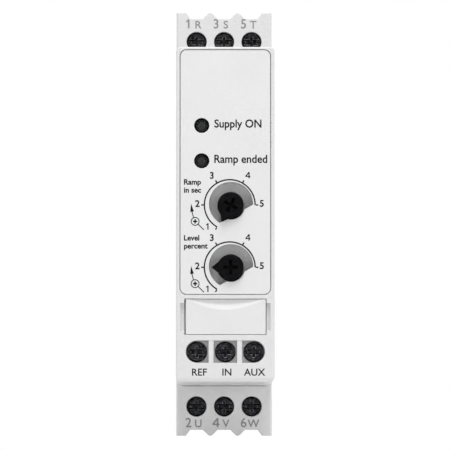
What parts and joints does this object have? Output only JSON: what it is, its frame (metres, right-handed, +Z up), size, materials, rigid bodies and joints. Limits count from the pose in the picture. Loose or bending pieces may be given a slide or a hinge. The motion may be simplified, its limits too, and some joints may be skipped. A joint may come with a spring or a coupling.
{
  "type": "soft starter",
  "caption": "Narrow rail-mounted soft starter with a stepped pale housing, pointer dials, lamps, a marker plate and screw clamps above, below and in the front cover.",
  "frame": {"origin": "middle of the rail seat on the back", "axes": "+X to the right seen from the front, -Y out of the front face, +Z up"},
  "size_m": [0.0226, 0.1004, 0.1],
  "materials": {
    "housing_plastic": "fine moulded texture",
    "cover_plastic": "fine moulded texture",
    "panel_foil": "satin printed foil",
    "marker_plastic": "satin",
    "terminal_plastic": "satin",
    "circuit_board": "solder mask",
    "connector_plastic": "satin",
    "pot_plastic": "satin",
    "lamp_lens": "tinted lens, unlit",
    "heat_sink_metal": "extruded",
    "semiconductor_case": "moulded",
    "relay_case": "satin",
    "capacitor_sleeve": "shrink sleeve",
    "varistor_coating": "dipped coating",
    "contact_bar_metal": "tinned copper alloy",
    "knob_plastic": "satin black",
    "spindle_plastic": "satin",
    "latch_plastic": "satin",
    "spring_steel": "zinc plated",
    "screw_steel": "blackened",
    "cage_steel": "zinc plated"
  },
  "bodies": {
    "module": {"base_housing": "housing_plastic", "upper_terminal_block": "housing_plastic", "lower_terminal_block": "housing_plastic", "front_cover": "cover_plastic", "front_panel": "panel_foil", "marker_plate": "marker_plastic", "control_terminal_block": "terminal_plastic", "power_board": "circuit_board", "control_board": "circuit_board", "board_link": "connector_plastic", "start_time_pot": "pot_plastic", "initial_voltage_pot": "pot_plastic", "power_lamp": "lamp_lens", "run_lamp": "lamp_lens", "heat_sink": "heat_sink_metal", "thyristors": "semiconductor_case", "bypass_relay": "relay_case", "supply_capacitor": "capacitor_sleeve", "varistor": "varistor_coating", "line_bars": "contact_bar_metal", "load_bars": "contact_bar_metal", "control_bars": "contact_bar_metal", "latch_spring": "spring_steel", "heat_sink_screws": "spring_steel"},
    "start_time_dial": {"start_time_knob": "knob_plastic", "start_time_spindle": "spindle_plastic"},
    "initial_voltage_dial": {"initial_voltage_knob": "knob_plastic", "initial_voltage_spindle": "spindle_plastic"},
    "latch": {"rail_latch": "latch_plastic"},
    "line_screw_1_body": {"line_screw_1": "screw_steel"},
    "line_cage_1_body": {"line_cage_1": "cage_steel"},
    "line_screw_2_body": {"line_screw_2": "screw_steel"},
    "line_cage_2_body": {"line_cage_2": "cage_steel"},
    "line_screw_3_body": {"line_screw_3": "screw_steel"},
    "line_cage_3_body": {"line_cage_3": "cage_steel"},
    "load_screw_1_body": {"load_screw_1": "screw_steel"},
    "load_cage_1_body": {"load_cage_1": "cage_steel"},
    "load_screw_2_body": {"load_screw_2": "screw_steel"},
    "load_cage_2_body": {"load_cage_2": "cage_steel"},
    "load_screw_3_body": {"load_screw_3": "screw_steel"},
    "load_cage_3_body": {"load_cage_3": "cage_steel"},
    "control_screw_1_body": {"control_screw_1": "screw_steel"},
    "control_cage_1_body": {"control_cage_1": "cage_steel"},
    "control_screw_2_body": {"control_screw_2": "screw_steel"},
    "control_cage_2_body": {"control_cage_2": "cage_steel"},
    "control_screw_3_body": {"control_screw_3": "screw_steel"},
    "control_cage_3_body": {"control_cage_3": "cage_steel"}
  },
  "joints": [
    {"name": "start_time_turn", "type": "hinge", "parent": "module", "child": "start_time_dial", "pos_m": [0.0012, -0.0946, 0.00195], "axis": [0, 1, 0], "range_deg": [0, 240]},
    {"name": "initial_voltage_turn", "type": "hinge", "parent": "module", "child": "initial_voltage_dial", "pos_m": [0.0012, -0.0946, -0.0123], "axis": [0, 1, 0], "range_deg": [-60, 180]},
    {"name": "latch_slide", "type": "slide", "parent": "module", "child": "latch", "axis": [0, 0, 1], "range_m": [-0.004, 0], "stiffness_N_per_m": 1000, "springref_m": 0.004, "deforming": ["latch_spring"]},
    {"name": "line_screw_1_turn", "type": "hinge", "parent": "module", "child": "line_screw_1_body", "pos_m": [-0.0065, -0.0606, 0.0432], "axis": [0, 1, 0], "range_deg": [0, 1800]},
    {"name": "line_cage_1_slide", "type": "slide", "parent": "module", "child": "line_cage_1_body", "axis": [0, -1, 0], "range_m": [0, 0.0025]},
    {"name": "line_screw_2_turn", "type": "hinge", "parent": "module", "child": "line_screw_2_body", "pos_m": [0, -0.0606, 0.0432], "axis": [0, 1, 0], "range_deg": [0, 1800]},
    {"name": "line_cage_2_slide", "type": "slide", "parent": "module", "child": "line_cage_2_body", "axis": [0, -1, 0], "range_m": [0, 0.0025]},
    {"name": "line_screw_3_turn", "type": "hinge", "parent": "module", "child": "line_screw_3_body", "pos_m": [0.0065, -0.0606, 0.0432], "axis": [0, 1, 0], "range_deg": [0, 1800]},
    {"name": "line_cage_3_slide", "type": "slide", "parent": "module", "child": "line_cage_3_body", "axis": [0, -1, 0], "range_m": [0, 0.0025]},
    {"name": "load_screw_1_turn", "type": "hinge", "parent": "module", "child": "load_screw_1_body", "pos_m": [-0.0065, -0.0606, -0.0432], "axis": [0, 1, 0], "range_deg": [0, 1800]},
    {"name": "load_cage_1_slide", "type": "slide", "parent": "module", "child": "load_cage_1_body", "axis": [0, -1, 0], "range_m": [0, 0.0025]},
    {"name": "load_screw_2_turn", "type": "hinge", "parent": "module", "child": "load_screw_2_body", "pos_m": [0, -0.0606, -0.0432], "axis": [0, 1, 0], "range_deg": [0, 1800]},
    {"name": "load_cage_2_slide", "type": "slide", "parent": "module", "child": "load_cage_2_body", "axis": [0, -1, 0], "range_m": [0, 0.0025]},
    {"name": "load_screw_3_turn", "type": "hinge", "parent": "module", "child": "load_screw_3_body", "pos_m": [0.0065, -0.0606, -0.0432], "axis": [0, 1, 0], "range_deg": [0, 1800]},
    {"name": "load_cage_3_slide", "type": "slide", "parent": "module", "child": "load_cage_3_body", "axis": [0, -1, 0], "range_m": [0, 0.0025]},
    {"name": "control_screw_1_turn", "type": "hinge", "parent": "module", "child": "control_screw_1_body", "pos_m": [-0.0065, -0.0943, -0.0315], "axis": [0, 1, 0], "range_deg": [0, 1800]},
    {"name": "control_cage_1_slide", "type": "slide", "parent": "module", "child": "control_cage_1_body", "axis": [0, -1, 0], "range_m": [0, 0.0025]},
    {"name": "control_screw_2_turn", "type": "hinge", "parent": "module", "child": "control_screw_2_body", "pos_m": [0, -0.0943, -0.0315], "axis": [0, 1, 0], "range_deg": [0, 1800]},
    {"name": "control_cage_2_slide", "type": "slide", "parent": "module", "child": "control_cage_2_body", "axis": [0, -1, 0], "range_m": [0, 0.0025]},
    {"name": "control_screw_3_turn", "type": "hinge", "parent": "module", "child": "control_screw_3_body", "pos_m": [0.0065, -0.0943, -0.0315], "axis": [0, 1, 0], "range_deg": [0, 1800]},
    {"name": "control_cage_3_slide", "type": "slide", "parent": "module", "child": "control_cage_3_body", "axis": [0, -1, 0], "range_m": [0, 0.0025]}
  ],
  "couplings": [
    {"joint": "line_screw_1_turn", "follows": "line_cage_1_slide", "rad_per_m": 12566},
    {"joint": "line_screw_2_turn", "follows": "line_cage_2_slide", "rad_per_m": 12566},
    {"joint": "line_screw_3_turn", "follows": "line_cage_3_slide", "rad_per_m": 12566},
    {"joint": "load_screw_1_turn", "follows": "load_cage_1_slide", "rad_per_m": 12566},
    {"joint": "load_screw_2_turn", "follows": "load_cage_2_slide", "rad_per_m": 12566},
    {"joint": "load_screw_3_turn", "follows": "load_cage_3_slide", "rad_per_m": 12566},
    {"joint": "control_screw_1_turn", "follows": "control_cage_1_slide", "rad_per_m": 12566},
    {"joint": "control_screw_2_turn", "follows": "control_cage_2_slide", "rad_per_m": 12566},
    {"joint": "control_screw_3_turn", "follows": "control_cage_3_slide", "rad_per_m": 12566}
  ]
}
